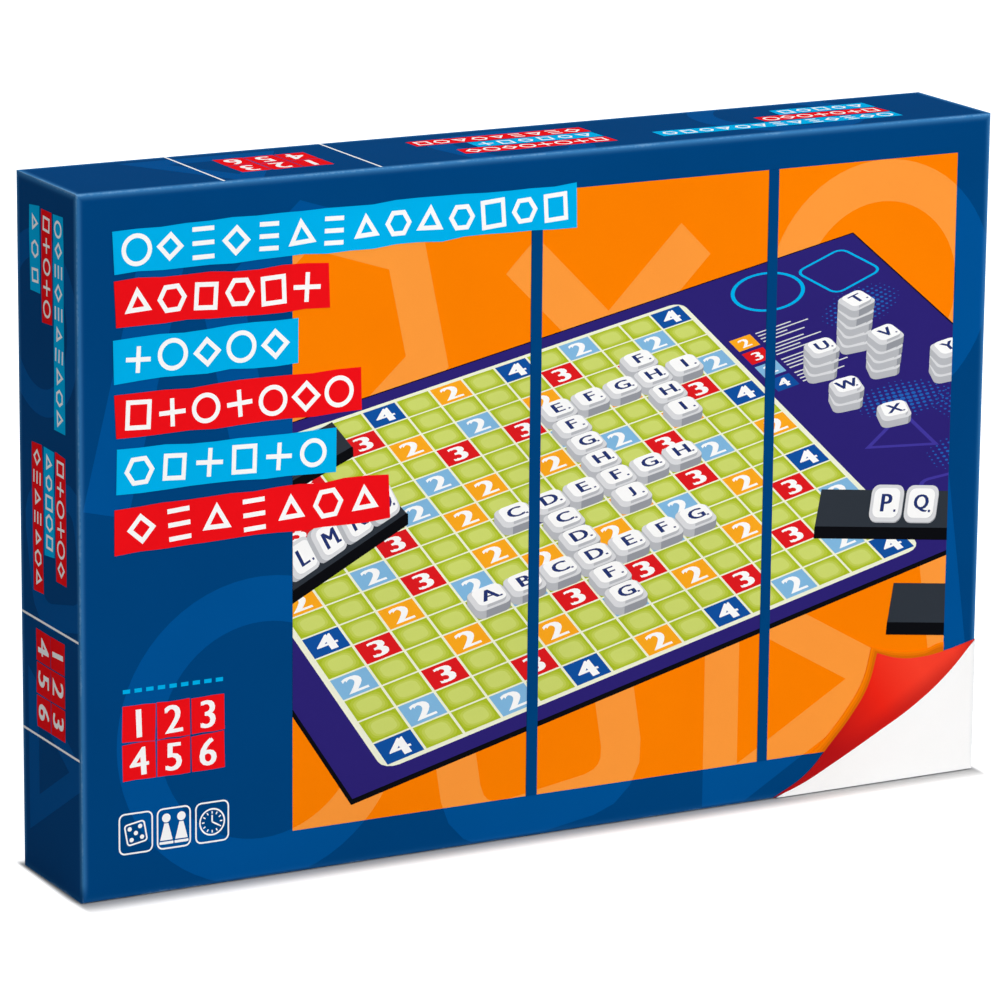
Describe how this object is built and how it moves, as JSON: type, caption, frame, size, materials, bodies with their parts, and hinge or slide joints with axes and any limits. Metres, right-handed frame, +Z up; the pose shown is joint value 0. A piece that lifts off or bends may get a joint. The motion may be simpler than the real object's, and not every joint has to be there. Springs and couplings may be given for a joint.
{
  "type": "word board game",
  "caption": "Boxed word game: lift-off lid over a base that holds a folding board, leaflet, formed tray, racks and letter tiles.",
  "frame": {"origin": "middle of the long narrow side that the closed box stands on", "axes": "+X along the box's length, -Y out of the lid's printed face, +Z up"},
  "size_m": [0.38, 0.053, 0.26],
  "materials": {
    "greyboard": "matt grey chipboard",
    "stay_tape": "brown gummed paper",
    "lid_paper": "deep blue print, satin laminate",
    "base_paper": "deep blue print, satin laminate",
    "board_print": "printed paper, satin varnish",
    "black_paper": "black embossed lining paper",
    "leaflet_paper": "coated white paper",
    "tray_plastic": "vacuum-formed blue sheet",
    "rack_plastic": "black, fine moulded texture",
    "tile_plastic": "ivory white, soft gloss"
  },
  "bodies": {
    "base": {"base_board": "greyboard", "base_corner_stays": "stay_tape", "base_wrap": "base_paper"},
    "lid": {"lid_board": "greyboard", "lid_corner_stays": "stay_tape", "lid_wrap": "lid_paper"},
    "rear_leaf": {"rear_leaf_core": "greyboard", "rear_leaf_face": "board_print", "rear_leaf_backing": "black_paper"},
    "front_leaf": {"front_leaf_core": "greyboard", "front_leaf_face": "board_print", "front_leaf_backing": "black_paper"},
    "leaflet": {"rules_leaflet": "leaflet_paper"},
    "tray": {"insert_tray": "tray_plastic"},
    "rack_1": {"rack_1": "rack_plastic"},
    "rack_2": {"rack_2": "rack_plastic"},
    "rack_3": {"rack_3": "rack_plastic"},
    "rack_4": {"rack_4": "rack_plastic"},
    "left_tiles": {"letter_tiles_left": "tile_plastic"},
    "right_tiles": {"letter_tiles_right": "tile_plastic"}
  },
  "joints": [
    {"name": "lid_lift", "type": "slide", "parent": "base", "child": "lid", "axis": [0, -1, 0], "range_m": [0, 0.93]},
    {"name": "board_lift", "type": "slide", "parent": "base", "child": "rear_leaf", "axis": [0, -1, 0], "range_m": [0, 0.14]},
    {"name": "leaflet_lift", "type": "slide", "parent": "base", "child": "leaflet", "axis": [0, -1, 0], "range_m": [0, 0.125]},
    {"name": "tray_lift", "type": "slide", "parent": "base", "child": "tray", "axis": [0, -1, 0], "range_m": [0, 0.06]},
    {"name": "rack_1_lift", "type": "slide", "parent": "tray", "child": "rack_1", "axis": [0, -1, 0], "range_m": [0, 0.05]},
    {"name": "rack_2_lift", "type": "slide", "parent": "tray", "child": "rack_2", "axis": [0, -1, 0], "range_m": [0, 0.05]},
    {"name": "rack_3_lift", "type": "slide", "parent": "tray", "child": "rack_3", "axis": [0, -1, 0], "range_m": [0, 0.05]},
    {"name": "rack_4_lift", "type": "slide", "parent": "tray", "child": "rack_4", "axis": [0, -1, 0], "range_m": [0, 0.05]},
    {"name": "left_tiles_lift", "type": "slide", "parent": "tray", "child": "left_tiles", "axis": [0, -1, 0], "range_m": [0, 0.05]},
    {"name": "right_tiles_lift", "type": "slide", "parent": "tray", "child": "right_tiles", "axis": [0, -1, 0], "range_m": [0, 0.05]},
    {"name": "board_fold", "type": "hinge", "parent": "rear_leaf", "child": "front_leaf", "pos_m": [0, -0.02185, 0.25025], "axis": [-1, 0, 0], "range_deg": [0, 180]}
  ],
  "couplings": [
    {"joint": "board_lift", "follows": "lid_lift", "ratio": 0.15054},
    {"joint": "leaflet_lift", "follows": "lid_lift", "ratio": 0.13441},
    {"joint": "tray_lift", "follows": "lid_lift", "ratio": 0.064516},
    {"joint": "rack_1_lift", "follows": "lid_lift", "ratio": 0.053763},
    {"joint": "rack_2_lift", "follows": "lid_lift", "ratio": 0.053763},
    {"joint": "rack_3_lift", "follows": "lid_lift", "ratio": 0.053763},
    {"joint": "rack_4_lift", "follows": "lid_lift", "ratio": 0.053763},
    {"joint": "left_tiles_lift", "follows": "lid_lift", "ratio": 0.053763},
    {"joint": "right_tiles_lift", "follows": "lid_lift", "ratio": 0.053763},
    {"joint": "board_fold", "follows": "lid_lift", "rad_per_m": 3.3781}
  ]
}
